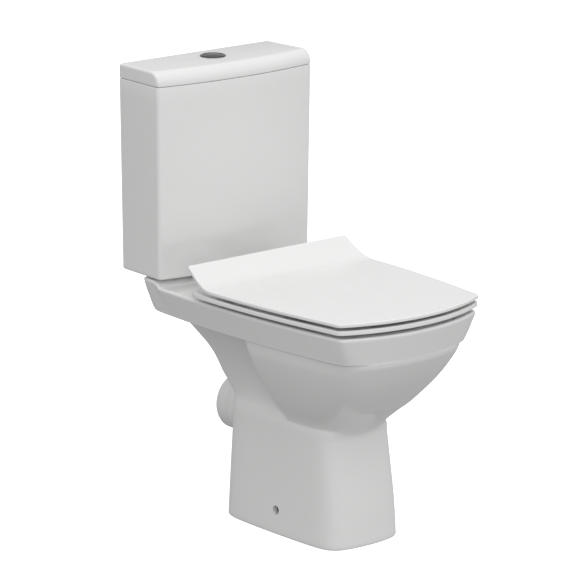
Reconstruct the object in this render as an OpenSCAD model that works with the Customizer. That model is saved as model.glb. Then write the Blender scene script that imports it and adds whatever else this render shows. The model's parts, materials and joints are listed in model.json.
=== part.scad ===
// Close coupled toilet: pan, cistern, seat and all the working parts inside.
// Front faces -Y, up is +Z, origin on the floor under the middle of the whole.
// Places along the depth are given as d, the distance in front of the wall.

/* [Overall] */
// Depth from the wall to the front of the seat
depth = 610; // [600:1:620]
// Height of the cistern lid's top
total_h = 785; // [775:1:800]
// Thickness of the china
china = 10; // [9:0.5:11]

/* [Pan] */
// Height of the rim
rim_z = 408; // [404:1:408]
// Half width of the rim at its widest
rim_half_w = 173; // [170:1:175]
// Distance of the rim's front from the wall
rim_front = 606; // [600:1:608]
// Height of the band under the rim
band_h = 50; // [46:1:54]
// Half width of the foot at the floor
foot_half_w = 87; // [84:1:90]
// Distance of the foot's front from the wall
foot_front = 475; // [470:1:480]
// Distance of the foot's rear from the wall
foot_rear = 170; // [165:1:172]
// Height of the outlet's centre line
outlet_z = 180; // [178:1:182]
// Outer radius of the outlet spigot
outlet_r = 51; // [50:0.5:51.5]
// Distance of the outlet's end from the wall
outlet_end = 118; // [112:1:124]
// Radius of the floor fixing holes in the foot
foot_hole_r = 8; // [6:0.5:8]

/* [Cistern] */
// Height of the cistern's underside
tank_z = 420.4; // [420:0.1:421]
// Height of the joint between cistern and lid
tank_top_z = 759; // [757:1:761]
// Half width of the cistern's front corners
tank_half_w = 171; // [169:1:172]
// Height of the raised deck that the cistern stands on
deck_z = 417; // [416.5:0.1:417.4]
// Distance of the flush valve from the wall
valve_d = 62; // [61:0.5:63]
// Distance of the push buttons from the wall
button_d = 52; // [50:1:54]

/* [Seat] */
// Half width of the seat at its widest
seat_half_w = 182; // [180:1:184]
// Height of the seat lid's flat top
seat_z = 435; // [435:0.5:437]
// Thickness of the seat lid
lid_t = 7; // [6:0.5:7]
// Thickness of the seat ring
ring_t = 9; // [8:0.5:9]
// Height of the seat lid's raised rear edge
lid_rear_z = 467; // [464:1:468]
// Height of the hinge line
hinge_z = 443; // [442:0.5:444]
// Distance of the hinge line from the wall
hinge_d = 190; // [188:1:191]
// Distance between the two hinges
hinge_gap = 155; // [150:1:160]

/* [Hidden] */

white_china = [0.93, 0.93, 0.92];
grey_rubber = [0.16, 0.16, 0.17];
pale_plastic = [0.86, 0.88, 0.9];
blue_plastic = [0.35, 0.5, 0.68];
bright_metal = [0.75, 0.76, 0.78];
brass_metal = [0.78, 0.64, 0.35];

// directions of a lofted section's points, closest at its corners
quarter = [for (i = [0:3]) 48 * i / 4, for (i = [0:5]) 48 + 20 * i / 6, 68, 79];
back_quarter = [90, for (i = [len(quarter) - 1:-1:1]) 180 - quarter[i]];
angles = [for (turn = [0, 180]) each [for (a = quarter) turn + a, for (a = back_quarter) turn + a]];
mid_d = 350;           // centre of the pan's sections
bowl_d = 410;          // centre of the basin's sections
clearance = 0.05;      // radial clearance of a running pin
skin = 0.3;            // gap between parts that slide past each other

// y of a point that is d in front of the wall
function wy(d) = depth / 2 - d;
// value between a and b, for t from 0 to 1
function mix(a, b, t) = a + (b - a) * t;
// smooth step from 0 to 1 as t goes from 0 to 1
function ease(t) = let (c = min(1, max(0, t))) c * c * (3 - 2 * c);

// ---- sections in polar form ------------------------------------------------
// A convex section is the smooth least of the ways to its walls; a union of
// sections is the smooth greatest. Directions are [across, back].

// way from the origin along v to a circle of radius r about c
function to_circle(v, c, r) = let (b = v * c) b + sqrt(b * b - c * c + r * r);
// smooth least and smooth greatest of a list
function soft_min(t, k) = pow([for (x = t) pow(x, -k)] * [for (x = t) 1], -1 / k);
function soft_max(t, k) = pow([for (x = t) pow(x, k)] * [for (x = t) 1], 1 / k);

// Section with curved sides, front and rear, seen from the distance d0.
// hw half width, dw where it is widest, front and rear distances from the
// wall, rs, rf and rr the walls' radii, k how sharp the corners are
function section(a, d0, hw, dw, front, rear, rs, rf, rr, k) =
    let (v = [abs(cos(a)), sin(a)])
    soft_min([to_circle(v, [hw - rs, d0 - dw], rs),
              to_circle(v, [0, rf - (front - d0)], rf),
              to_circle(v, [0, (d0 - rear) - rr], rr)], k);

// ring of points about the distance d0, from its reach in each direction
function ring_points(d0, z, r) = [for (i = [0:len(angles) - 1])
    [r[i] * cos(angles[i]), wy(d0) + r[i] * sin(angles[i]), z]];

function reversed(list) = [for (i = [len(list) - 1:-1:0]) list[i]];

// Skin through rings of equal length: capped at both ends, or closed on itself.
// flip lays the quads' diagonals the other way, as the same skin has them from inside
module loft(rings, closed = false, flip = false) {
    n = len(rings[0]);
    m = len(rings);
    first = [for (k = [0:2]) [for (p = rings[0]) p[k]] * [for (p = rings[0]) 1] / n];
    last = [for (k = [0:2]) [for (p = rings[m - 1]) p[k]] * [for (p = rings[0]) 1] / n];
    points = concat([for (r = rings) each r], closed ? [] : [first, last]);
    sides = [for (j = [0:closed ? m - 1 : m - 2], i = [0:n - 1])
        let (k = (i + 1) % n, next = (j + 1) % m * n, a = j * n + i, b = j * n + k, c = next + i, d = next + k)
        each flip ? [[a, c, b], [b, c, d]] : [[a, c, d], [a, d, b]]];
    caps = closed ? [] : [for (i = [0:n - 1]) let (e = (m - 1) * n)
        each [[m * n, i, (i + 1) % n], [m * n + 1, e + (i + 1) % n, e + i]]];
    polyhedron(points, concat(sides, caps), convexity = 10);
}

// ---- pan -------------------------------------------------------------------
band_z = rim_z - band_h;
under_z = rim_z - 12;      // underside of the deck
neck_z = 181;              // height where the bowl starts to leave the foot

// smooth curve through points given as [height, value]
function slope(points, i) =
    let (p = points[max(0, i - 1)], q = points[min(len(points) - 1, i + 1)]) (q[1] - p[1]) / (q[0] - p[0]);
function curve(points, z) =
    let (i = max([for (k = [0:len(points) - 2]) if (k == 0 || points[k][0] <= z) k]),
         p = points[i], q = points[i + 1], h = q[0] - p[0], u = min(1, max(0, (z - p[0]) / h)))
    p[1] * (1 + 2 * u) * (1 - u) * (1 - u) + slope(points, i) * h * u * (1 - u) * (1 - u)
    + q[1] * u * u * (3 - 2 * u) + slope(points, i + 1) * h * u * u * (u - 1);

// rim and band, drawn in by t at height z
function band_r(a, z, t) = let (s = (rim_z - z) / band_h)
    soft_max([section(a, mid_d, rim_half_w - t - 15 * s, 262, rim_front + 1 - t - 14 * s,
                      42 + t + 14 * s, 2100, 330, 900, mix(90, 30, s)),
              section(a, mid_d, 66 - t, 250, 420, 18 + t + 6 * s, 1900, 900, 900, 20)], 40);

// heights with the size of the stem there: the foot, the neck and the web behind the bowl
stem_half_w = [[0, foot_half_w], [100, foot_half_w - 4], [185, foot_half_w - 7], [198, foot_half_w - 8],
               [208, 76], [222, 71], [240, 72], [280, 85], [320, 107], [band_z, 133]];
stem_rear = [[0, foot_rear], [100, foot_rear + 4], [185, foot_rear + 8], [200, foot_rear + 5], [212, 167],
             [235, 150], [250, 140], [280, 126], [300, 112], [320, 89], [345, 60], [band_z, 47]];
stem_front = [[0, foot_front], [66, foot_front - 4], [135, foot_front - 14], [187, foot_front - 22],
              [205, 450], [240, 430], [band_z, 420]];
function stem_r(a, z, t) = let (low = ease((215 - z) / 30))
    section(a, mid_d, curve(stem_half_w, z) - t, 290, curve(stem_front, z) - t, curve(stem_rear, z) + t,
            mix(900, 2600, low), mix(600, 260, low), mix(400, 900, low), mix(9, 24, ease((z - 205) / 45)));

// heights with the size of the bowl there
bowl_half_w = [[180, 40], [200, 68], [212, 80], [240, 101], [285, 127], [330, 147],
               [band_z, rim_half_w - 19]];
bowl_front = [[180, 410], [195, 441], [205, 457], [230, 486], [249, 509], [301, 558], [346, 589],
              [band_z, rim_front - 13]];
bowl_rear = [[180, 335], [215, 330], [300, 306], [band_z, 292]];
function bowl_r(a, z, t) = let (s = min(1.2, max(0, (band_z - z) / (band_z - 212))))
    section(a, mid_d, curve(bowl_half_w, z) - t, 300, curve(bowl_front, z) - t, curve(bowl_rear, z) + t,
            1400, mix(345, 300, s), 500, mix(17, 6, s));

// how near a direction is to straight ahead, from 0 to 1
function ahead(a) = exp(-pow((abs(a - 270) > 180 ? 90 + a : a - 270) * PI / 180, 2) / 0.12);
// outside of the whole pan, drawn in by t at height z
function pan_r(a, z, t) =
    z >= band_z ? band_r(a, z, t)
    : z <= neck_z ? stem_r(a, z, t)
    : soft_max([bowl_r(a, z, t), stem_r(a, z, t)], mix(48, 16, ahead(a)));

// basin: its section at a height, let out by t
basin_floor_z = 186;
function basin_s(z) = (z - basin_floor_z) / (rim_z - basin_floor_z);
function basin_mid(z) = bowl_d - 75 * (1 - basin_s(z));
function basin_r(a, z, t) = let (s = basin_s(z))
    section(a, basin_mid(z), mix(36, 122, pow(s, 1.35)) + t, 380, mix(368, 574, pow(s, 0.7)) + t,
            mix(324, 260, s * s) - t, 700, 330, 600, mix(3, 7, s));
// ring of the basin's section at z, laid dz lower
function basin_ring(z, t, dz) = ring_points(basin_mid(z), z - dz, [for (a = angles) basin_r(a, z, t)]);
function pan_ring(z, t) = ring_points(mid_d, z, [for (a = angles) pan_r(a, z, t)]);
// a ring of the pan's own section, laid at another height
function laid_ring(z, t, at_z) = [for (p = pan_ring(z, t)) [p[0], p[1], at_z]];

split_z = 122;             // height where the foot's solid meets the skirt's
basin_zs = [basin_floor_z, 192, 206, 230, 262, 300, 330, band_z];
outer_zs = [band_z - 6, band_z - 14, 326, 304, 282, 262, 246, 232, 222, 213, 205, 197, 189, neck_z,
            150, split_z];
cavity_zs = [split_z, 150, neck_z, 195, 208, 222, 236, 250, 265, 282, 304, 326];
root_r = outlet_r + 2.5;   // root of the outlet spigot
free_l = 28;               // length of the spigot's free end

// the basin's outside, from the band down
basin_back = [basin_ring(band_z + china, china, china),
              for (z = reversed(basin_zs)) if (z < band_z) basin_ring(z, china, china)];

// duct from the cistern to the back of the basin, starting at the distance d
duct_top = rim_z - 10;
duct_floor = band_z + 8;
module duct(d, t) {
    translate([-34 - t, wy(d), duct_floor - t])
        cube([68 + 2 * t, d - valve_d + 36 + t, duct_top - duct_floor + t * 1.2]);
}

// trap from the basin over the weir to the outlet, as bends at [d, z]
trap_way = [[322, 206], [226, 244], [182, 206], [145, outlet_z]];
module trap(r) {
    for (i = [1:len(trap_way) - 1]) {
        p = trap_way[i - 1];
        q = trap_way[i];
        translate([0, wy(p[0]), p[1]]) rotate([-atan2(p[0] - q[0], q[1] - p[1]), 0, 0])
            cylinder(h = norm(q - p), r = r, $fn = 48);
        if (i < len(trap_way) - 1) translate([0, wy(q[0]), q[1]]) sphere(r = r + 0.6, $fn = 48);
    }
}

// raised deck under the cistern, with a ramp down to the rim's level
module deck() {
    intersection() {
        translate([0, 0, rim_z - 6]) linear_extrude(deck_z - rim_z + 6)
            polygon([for (p = pan_ring(rim_z, 0.6)) [p[0], p[1]]]);
        translate([-200, 0, 0]) rotate([90, 0, 90]) linear_extrude(400)
            polygon([[wy(0), 380], [wy(122), 380], [wy(122), rim_z - 0.5],
                     [wy(110), deck_z], [wy(0), deck_z]]);
    }
}

// holes through the china at the rear: an open back, where the wing nuts are reached
module open_back() {
    for (x = [-1, 1]) translate([x * bolt_x - 24, wy(110), 300]) cube([48, 110, under_z - 300]);
}

// The pan is one casting. It is drawn as five solids that meet face to face:
// the rim and its band, the basin, the trap, the outer skirt and the foot.
module pan_rim() {
    color(white_china) difference() {
        union() {
            loft(reversed([
                basin_ring(band_z, 0, 0), basin_ring(385, 0, 0), basin_ring(rim_z - 5, 0, 0),
                basin_ring(rim_z, 4, 0), laid_ring(rim_z, 5, rim_z),
                for (z = [rim_z - 5, 384, band_z + 3, band_z]) pan_ring(z, 0),
                laid_ring(band_z - 0.5, china, band_z), laid_ring(band_z - 0.5, china, band_z + china),
                pan_ring(band_z + china + 1, china), pan_ring(under_z, china),
                basin_ring(rim_z, china, rim_z - under_z), basin_ring(band_z + china, china, china)]),
                closed = true);
            deck();
            duct(258, 8);
        }
        duct(275, 0);
        // inlet and the seat of the coupling gasket
        translate([0, wy(valve_d), 380]) cylinder(h = 60, r = 32, $fn = 72);
        translate([0, wy(valve_d), gasket_z]) cylinder(h = 40, r = gasket_r + 0.5, $fn = 72);
        // cistern bolts and seat bolts
        for (x = [-1, 1]) {
            translate([x * bolt_x, wy(valve_d), 380]) cylinder(h = 60, r = 6.5, $fn = 40);
            translate([x * hinge_gap / 2, wy(hinge_d), 380]) cylinder(h = 60, r = 8, $fn = 40);
        }
        open_back();
    }
}
module pan_basin() {
    color(white_china) difference() {
        loft(reversed(concat([for (z = basin_zs) basin_ring(z, 0, 0)], basin_back)));
        trap(33);
    }
}
module pan_trap() {
    color(white_china) difference() {
        intersection() {
            trap(42);
            loft([for (z = cavity_zs) pan_ring(z, china)], flip = true);
        }
        trap(33);
        loft(reversed(basin_back));
    }
}
module pan_skirt() {
    color(white_china) difference() {
        union() {
            loft(reversed(concat(
                [laid_ring(band_z - 0.5, 0, band_z)], [for (z = outer_zs) pan_ring(z, 0)],
                [for (z = cavity_zs) pan_ring(z, china)], [laid_ring(band_z - 0.5, china, band_z)])),
                closed = true);
            translate([0, wy(outlet_end), outlet_z]) rotate([90, 0, 0])
                cylinder(h = free_l + 1, r = outlet_r, $fn = 72);
            difference() {
                translate([0, wy(outlet_end + free_l), outlet_z]) rotate([90, 0, 0])
                    cylinder(h = 40, r = root_r, $fn = 72);
                loft([for (z = cavity_zs) pan_ring(z, 1)]);
            }
        }
        trap(33);
        // outlet bore
        translate([0, wy(outlet_end - 1), outlet_z]) rotate([90, 0, 0])
            cylinder(h = 36, r = outlet_r - 9, $fn = 72);
        open_back();
    }
}
module pan_foot() {
    color(white_china) difference() {
        loft(reversed([pan_ring(split_z, 0), pan_ring(80, 0), pan_ring(40, 0), pan_ring(4, 0), pan_ring(0,
            3),
                       pan_ring(0, china), pan_ring(split_z, china)]), closed = true);
        for (x = [-1, 1]) translate([x * 60, wy(fix_d), fix_z]) rotate([0, x * 90, 0])
            cylinder(h = 40, r = foot_hole_r, $fn = 40);
    }
}

fix_d = 324;           // floor fixing holes: distance from the wall
fix_z = 43;            // and height
bolt_x = 76;           // cistern bolts each side of the middle
gasket_z = 406;        // bottom of the coupling gasket
gasket_r = 40;         // outer radius of the coupling gasket

// upright cylinder, or ring when r_in is given, between two heights
module pillar(x, d, z0, z1, r, r_in = 0) {
    translate([x, wy(d), z0]) difference() {
        cylinder(h = z1 - z0, r = r, $fn = 48);
        if (r_in > 0) translate([0, 0, -1]) cylinder(h = z1 - z0 + 2, r = r_in, $fn = 48);
    }
}
// cylinder along X, or ring, between two places
module axle(x0, x1, d, z, r, r_in = 0) {
    translate([x0, wy(d), z]) rotate([0, 90, 0]) difference() {
        cylinder(h = x1 - x0, r = r, $fn = 48);
        if (r_in > 0) translate([0, 0, -1]) cylinder(h = x1 - x0 + 2, r = r_in, $fn = 48);
    }
}
// block between two places across, along the depth and up
module block(x0, x1, d0, d1, z0, z1) {
    translate([x0, wy(d1), z0]) cube([x1 - x0, d1 - d0, z1 - z0]);
}
// upright plate with an outline given as [d, z], between two places across
module plate(x0, x1, outline) {
    translate([x0, 0, 0]) rotate([90, 0, 90]) linear_extrude(x1 - x0)
        polygon([for (p = outline) [wy(p[0]), p[1]]]);
}
// wing nut with its wings along X
module wing_nut(x, d, z0, z1, r) {
    difference() {
        union() {
            pillar(x, d, z0, z1, 8);
            block(x - 17, x + 17, d - 2, d + 2, z0, z1);
        }
        pillar(x, d, z0 - 1, z1 + 1, r);
    }
}
module each_side() {
    children();
    mirror([1, 0, 0]) children();
}

// outline [x, d] with a corner's radius in each point's third place
function fillet(p, q, s, r, n) = let (u = (p - q) / norm(p - q), v = (s - q) / norm(s - q),
        half = acos(u * v) / 2, m = (u + v) / norm(u + v), c = q + m * r / sin(half),
        f = q + u * r / tan(half), l = q + v * r / tan(half))
    [for (i = [0:n]) let (w = (f - c) * (1 - i / n) + (l - c) * i / n) c + w * r / norm(w)];
function rounded(o) = [for (i = [0:len(o) - 1])
    let (q = o[i], p = o[(i + len(o) - 1) % len(o)], s = o[(i + 1) % len(o)])
    each q[2] == 0 ? [[q[0], q[1]]]
        : fillet([p[0], p[1]], [q[0], q[1]], [s[0], s[1]], q[2], 5)];
function both_sides(o) = concat([for (p = o) [p[0], p[1], p[2]]],
    [for (i = [len(o) - 1:-1:0]) [-o[i][0], o[i][1], o[i][2]]]);

// ---- cistern ---------------------------------------------------------------
tank_floor_z = 432;    // inside of the cistern's floor
tank_wall = china - 1;
lid_round = 22;        // height of the lid's rounded front edge

// outline drawn in at the front, the sides and the back
function tank_outline(z, f, s, b) = let (u = (z - tank_z) / (tank_top_z - tank_z),
        hw = tank_half_w - 3 + 3 * u - s, front = 127 + 5 * u - f, r = 870,
        corner = front - r + sqrt(r * r - hw * hw))
    rounded(both_sides(concat([[hw - 5, b, 4], [hw, corner, 7]],
        [for (x = [0.8:-0.2:0.1]) [hw * x, front - r + sqrt(r * r - hw * hw * x * x), 0]])));
function tank_ring(z, f, s, b) =
    [for (p = reversed(tank_outline(z, f, s, b))) [p[0], wy(p[1]), z]];

module cistern() {
    color(white_china) difference() {
        loft([tank_ring(tank_z, 4, 4, 4), tank_ring(tank_z + 4, 0, 0, 0),
              tank_ring(tank_top_z - 1, 0, 0, 0), tank_ring(tank_top_z, 1, 1, 1),
              tank_ring(tank_top_z, tank_wall, tank_wall, tank_wall),
              tank_ring(tank_floor_z + 8, tank_wall, tank_wall, tank_wall),
              tank_ring(tank_floor_z, tank_wall + 1.5, tank_wall + 1.5, tank_wall + 1.5)]);
        pillar(0, valve_d, tank_z - 10, tank_floor_z + 10, valve_r + 1.5);
        pillar(tail_x, tail_d, tank_z - 10, tank_floor_z + 10, tail_r + 1.5);
        each_side() pillar(bolt_x, valve_d, tank_z - 10, tank_floor_z + 10, 6.5);
    }
}

// lid with a quarter round front edge, hollow underneath
function lid_ring(z, t) = let (up = max(0, z - (total_h - lid_round)) / lid_round,
        small = max(0, z - (total_h - 4)) / 4)
    tank_ring(min(z, tank_top_z), t + lid_round * (1 - sqrt(max(0, 1 - up * up))),
              t + 4 * small * small, t + 4 * small * small);
function lifted(ring, z) = [for (p = ring) [p[0], p[1], z]];
module cistern_lid() {
    low = tank_top_z + 0.8;
    outer = [low, for (u = [0, 0.3, 0.55, 0.75, 0.9, 1]) total_h - lid_round * (1 - u)];
    color(white_china) difference() {
        loft([for (z = outer) lifted(lid_ring(z, 0), z)]);
        loft([lifted(lid_ring(low, tank_wall + 2), low - 5),
              lifted(lid_ring(low, tank_wall + 2), total_h - 19),
              lifted(lid_ring(low, tank_wall + 14), total_h - 9)]);
        pillar(0, button_d, low, total_h + 5, bezel_r + skin);
    }
}

bolt_r = 4;
module cistern_bolts() {
    color(bright_metal) each_side() {
        pillar(bolt_x, valve_d, under_z - 22, tank_floor_z + 5.5, bolt_r);
        pillar(bolt_x, valve_d, tank_floor_z + 5.5, tank_floor_z + 10, 8);
    }
}
module bolt_rubber_washers() {
    color(grey_rubber) each_side() pillar(bolt_x, valve_d, tank_floor_z, tank_floor_z + 5.5, 12, bolt_r);
}
module bolt_metal_washers() {
    color(bright_metal) each_side() pillar(bolt_x, valve_d, under_z - 2, under_z, 11, bolt_r);
}
module bolt_wing_nuts() {
    color(bright_metal) each_side() wing_nut(bolt_x, valve_d, under_z - 10, under_z - 2, bolt_r);
}
module cistern_pads() {
    color(grey_rubber) each_side() pillar(bolt_x, valve_d, deck_z, tank_z, 14, 6.5);
}

// ---- flush valve -----------------------------------------------------------
valve_r = 29.8;        // radius of the threaded tail
seat_top_z = 441;      // the face that the flush seal rests on
housing_r = 36;
housing_z = 600;       // top of the valve housing
tube_r = 14;
tube_top_z = 690;
lever_z = 717;         // height of the lift lever
lever_x = -6;          // its pivot
pad_x = 10;            // push rods each side of the middle
rod_end_z = lever_z + 3.3;

module coupling_gasket() {
    color(grey_rubber) pillar(0, valve_d, gasket_z, tank_z, gasket_r, 36);
}
module flush_valve_base() {
    color(blue_plastic) difference() {
        union() {
            pillar(0, valve_d, under_z, seat_top_z - 2, valve_r);
            pillar(0, valve_d, tank_floor_z + 3, tank_floor_z + 7, 41);
            pillar(0, valve_d, seat_top_z - 3, seat_top_z, 27);
        }
        pillar(0, valve_d, under_z - 5, seat_top_z + 5, 24);
    }
}
module flush_valve_washer() {
    color(grey_rubber) pillar(0, valve_d, tank_floor_z, tank_floor_z + 3, 41, valve_r);
}
module flush_valve_backnut() {
    color(white_china) pillar(0, valve_d, tank_z - 12, tank_z, 35, valve_r);
}
module flush_valve_housing() {
    base = tank_floor_z + 7;
    color(white_china) difference() {
        union() {
            pillar(0, valve_d, base, housing_z, housing_r, housing_r - 3);
            pillar(0, valve_d, housing_z - 3, housing_z, housing_r);
            // mast that carries the lever's pin
            block(lever_x - 6, lever_x + 6, valve_d + 15.5, valve_d + 20, housing_z - 3, lever_z + 8);
        }
        // water ways at the bottom
        for (a = [0, 90]) translate([0, wy(valve_d), base + 8]) rotate(a + 45)
            translate([-50, -14, 0]) cube([100, 28, 26]);
        pillar(0, valve_d, housing_z - 5, housing_z + 1, tube_r + skin);
        pillar(-pad_x, valve_d - 24, housing_z - 5, housing_z + 1, 2.5 + skin);
        translate([lever_x, wy(valve_d), lever_z]) rotate([90, 0, 0]) cylinder(h = 40, r = 2, $fn = 32);
    }
}
module lever_pin() {
    color(bright_metal) translate([lever_x, wy(valve_d + 0.5), lever_z]) rotate([90, 0, 0])
        cylinder(h = 19.5, r = 2, $fn = 32);
}
// lever between the full flush rod and the tube's hook
module lift_lever() {
    color(blue_plastic) difference() {
        union() {
            block(-30, 13, valve_d + 2, valve_d + 8, lever_z - 3, lever_z + 3);
            block(6, 14, button_d - 3, valve_d + 8, lever_z - 3, lever_z + 3);
            translate([lever_x, wy(valve_d + 2), lever_z]) rotate([90, 0, 0])
                cylinder(h = 13, r = 4.5, $fn = 40);
        }
        translate([lever_x, wy(valve_d - 5), lever_z]) rotate([90, 0, 0])
            cylinder(h = 30, r = 2 + clearance, $fn = 32);
    }
}
module overflow_tube() {
    color(blue_plastic) {
        pillar(0, valve_d, seat_top_z + 4, tube_top_z, tube_r, tube_r - 3);
        pillar(0, valve_d, seat_top_z + 4, seat_top_z + 7, 28, tube_r - 3);
        // hook that the lever lifts
        difference() {
            block(-36, -10, valve_d + 2, valve_d + 8, tube_top_z - 6, tube_top_z);
            pillar(0, valve_d, tube_top_z - 10, tube_top_z + 1, tube_r - 1);
        }
        block(-36, -32, valve_d + 3, valve_d + 7, tube_top_z - 1, lever_z + 8);
        block(-36, -26, valve_d + 2, valve_d + 8, lever_z + 3.4, lever_z + 8);
    }
}
module flush_seal() {
    color(grey_rubber) pillar(0, valve_d, seat_top_z, seat_top_z + 4, 30, tube_r);
}
module float_bell() {
    color(white_china) pillar(0, valve_d, 486, 556, 30, tube_r);
}
module half_flush_plunger() {
    color(blue_plastic) {
        pillar(-pad_x, valve_d - 24, 585, lever_z + 1, 2.5);
        block(-pad_x - 3, -pad_x + 3, valve_d - 27, button_d + 3, lever_z - 1, lever_z + 3);
    }
}

// ---- fill valve ------------------------------------------------------------
tail_x = 128;          // supply tail, behind the deck's rear corner
tail_d = 27;
tail_r = 10.48;        // half inch pipe thread
fill_top_z = 640;
arm_x = 88;            // middle of the float
arm_pin_z = fill_top_z + 12;

module fill_valve_body() {
    color(white_china) {
        pillar(tail_x, tail_d, tank_z - 42, tank_z - 10, tail_r, 5);
        pillar(tail_x, tail_d, tank_z - 10, tank_floor_z + 3, tail_r - 0.4, 5);
        pillar(tail_x, tail_d, tank_floor_z + 3, tank_floor_z + 7, 15.5, 5);
        pillar(tail_x, tail_d, tank_floor_z + 7, fill_top_z, 9, 5);
        // guide for the float
        block(tail_x - 60, tail_x - 7, tail_d - 3, tail_d + 3, 520, 523);
        pillar(arm_x, tail_d + 12, 520, fill_top_z - 8, 2.5);
        block(arm_x - 3, arm_x + 3, tail_d - 3, tail_d + 14, 520, 523);
    }
}
module fill_valve_washer() {
    color(grey_rubber) pillar(tail_x, tail_d, tank_floor_z, tank_floor_z + 3, 15.5, tail_r - 0.4);
}
module fill_valve_nut() {
    color(white_china) difference() {
        translate([tail_x, wy(tail_d), tank_z - 10]) cylinder(h = 10, r = 16, $fn = 6);
        pillar(tail_x, tail_d, tank_z - 12, tank_z + 1, tail_r - 0.4);
    }
}
module fill_valve_cap() {
    color(blue_plastic) difference() {
        union() {
            pillar(tail_x, tail_d, fill_top_z, fill_top_z + 24, 14);
            block(tail_x - 20, tail_x - 8, tail_d - 8, tail_d - 4.5, fill_top_z + 4, arm_pin_z + 5);
            block(tail_x - 20, tail_x - 8, tail_d + 4.5, tail_d + 8, fill_top_z + 4, arm_pin_z + 5);
        }
        translate([tail_x - 16, wy(tail_d - 12), arm_pin_z]) rotate([90, 0, 0])
            cylinder(h = 24, r = 1.5, $fn = 32);
        block(tail_x - 21, tail_x - 9.5, tail_d - 4.5, tail_d + 4.5, fill_top_z - 1, fill_top_z + 30);
    }
}
module fill_float() {
    color(white_china) difference() {
        union() {
            block(arm_x - 17, arm_x + 17, 14, 62, 540, 592);
            block(arm_x - 3, arm_x + 3, tail_d - 3, tail_d + 3, 592, arm_pin_z - 4.4);
        }
        pillar(arm_x, tail_d + 12, 500, 620, 2.5 + skin);
    }
}
module float_arm() {
    color(blue_plastic) difference() {
        union() {
            block(arm_x - 6, tail_x - 16, tail_d - 4, tail_d + 4, arm_pin_z - 2.5, arm_pin_z + 2.5);
            translate([tail_x - 16, wy(tail_d - 4), arm_pin_z]) rotate([90, 0, 0])
                cylinder(h = 8, r = 4, $fn = 40);
        }
        translate([tail_x - 16, wy(tail_d - 12), arm_pin_z]) rotate([90, 0, 0])
            cylinder(h = 24, r = 1.5 + clearance, $fn = 32);
    }
}
module float_arm_pin() {
    color(bright_metal) translate([tail_x - 16, wy(tail_d - 8), arm_pin_z]) rotate([90, 0, 0])
        cylinder(h = 16, r = 1.5, $fn = 32);
}

// ---- push buttons ----------------------------------------------------------
bezel_r = 19.5;        // threaded tube through the lid
button_r = 16;
guide_z = total_h - 32;

module button_bezel() {
    color(bright_metal) difference() {
        union() {
            pillar(0, button_d, guide_z, total_h, bezel_r);
            translate([0, wy(button_d), 0]) rotate_extrude($fn = 72)
                polygon([[10, total_h], [23, total_h], [22.4, total_h + 1.6], [19, total_h + 2.6], [10,
                    total_h + 2.6]]);
        }
        pillar(0, button_d, guide_z + 3, total_h + 5, button_r + 0.35);
        for (x = [-pad_x, pad_x]) pillar(x, button_d, guide_z - 1, guide_z + 4, 2.5 + skin);
    }
}
module button_nut() {
    color(white_china) pillar(0, button_d, total_h - 9 - 8, total_h - 9, 27, bezel_r);
}
// half disc with a domed top on the +X side
module half_button(split) {
    intersection() {
        translate([0, wy(button_d), 0]) rotate_extrude($fn = 72)
            polygon([[0, total_h - 9], [button_r, total_h - 9], [button_r, total_h + 1.6],
                     [14, total_h + 2.6], [9, total_h + 3.3], [0, total_h + 3.6]]);
        block(split, 30, button_d - 30, button_d + 30, total_h - 12, total_h + 10);
    }
}
module button_full() {
    color(bright_metal) half_button(-3.7);
}
module button_half() {
    color(bright_metal) mirror([1, 0, 0]) half_button(4.1);
}
module push_rod_full() {
    color(white_china) {
        pillar(pad_x, button_d, rod_end_z + 2.5, total_h - 9, 2.5);
        translate([pad_x, wy(button_d), rod_end_z + 2.5]) sphere(r = 2.5, $fn = 40);
    }
}
module push_rod_half() {
    color(white_china) pillar(-pad_x, button_d, rod_end_z, total_h - 9, 2.5);
}
module spring_full() {
    color(bright_metal) pillar(pad_x, button_d, guide_z + 3, total_h - 9, 4.6, 3.4);
}
module spring_half() {
    color(bright_metal) pillar(-pad_x, button_d, guide_z + 3, total_h - 9, 4.6, 3.4);
}

// ---- seat ------------------------------------------------------------------
ring_top_z = seat_z - 12;
pin_r = 4;
knuckle_r = 9;
post_w = 8.5;          // half width of a hinge post
lid_x0 = hinge_gap / 2 - 25;   // inner end of a lid knuckle
ring_x1 = hinge_gap / 2 + 25;  // outer end of a ring knuckle

// half width of the seat at the distance d
function seat_hw(d) = d < 250 ? mix(176, seat_half_w, (d - 200) / 50)
                              : seat_half_w - (d - 250) * (d - 250) / 3800;
// outline from the rear to the front, drawn in by t
function seat_outline(rear, t, corner) = let (r = 330, front = depth - t)
    [for (p = rounded(both_sides(concat(
        [[seat_hw(rear) - t, rear + t, corner]],
        [for (d = [250:50:500]) [seat_hw(d) - t, d, 0]],
        [[seat_hw(565) - t, front - r + sqrt(r * r - pow(seat_hw(565) - t, 2)), 14]],
        [for (u = [0.8, 0.6, 0.4, 0.2, 0.02]) [156 * u, front - r + sqrt(r * r - 156 * 156 * u * u), 0]]))))
        [p[0], wy(p[1])]];

// height of the lid's top above its flat part
ramp_d = 248;
function ramp(d) = let (slope = (lid_rear_z - seat_z) / (ramp_d - 200), w = ramp_d + 22 - d)
    w < 0 ? 0 : w < 44 ? slope * w * w / 88 : slope * (ramp_d - d);

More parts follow.
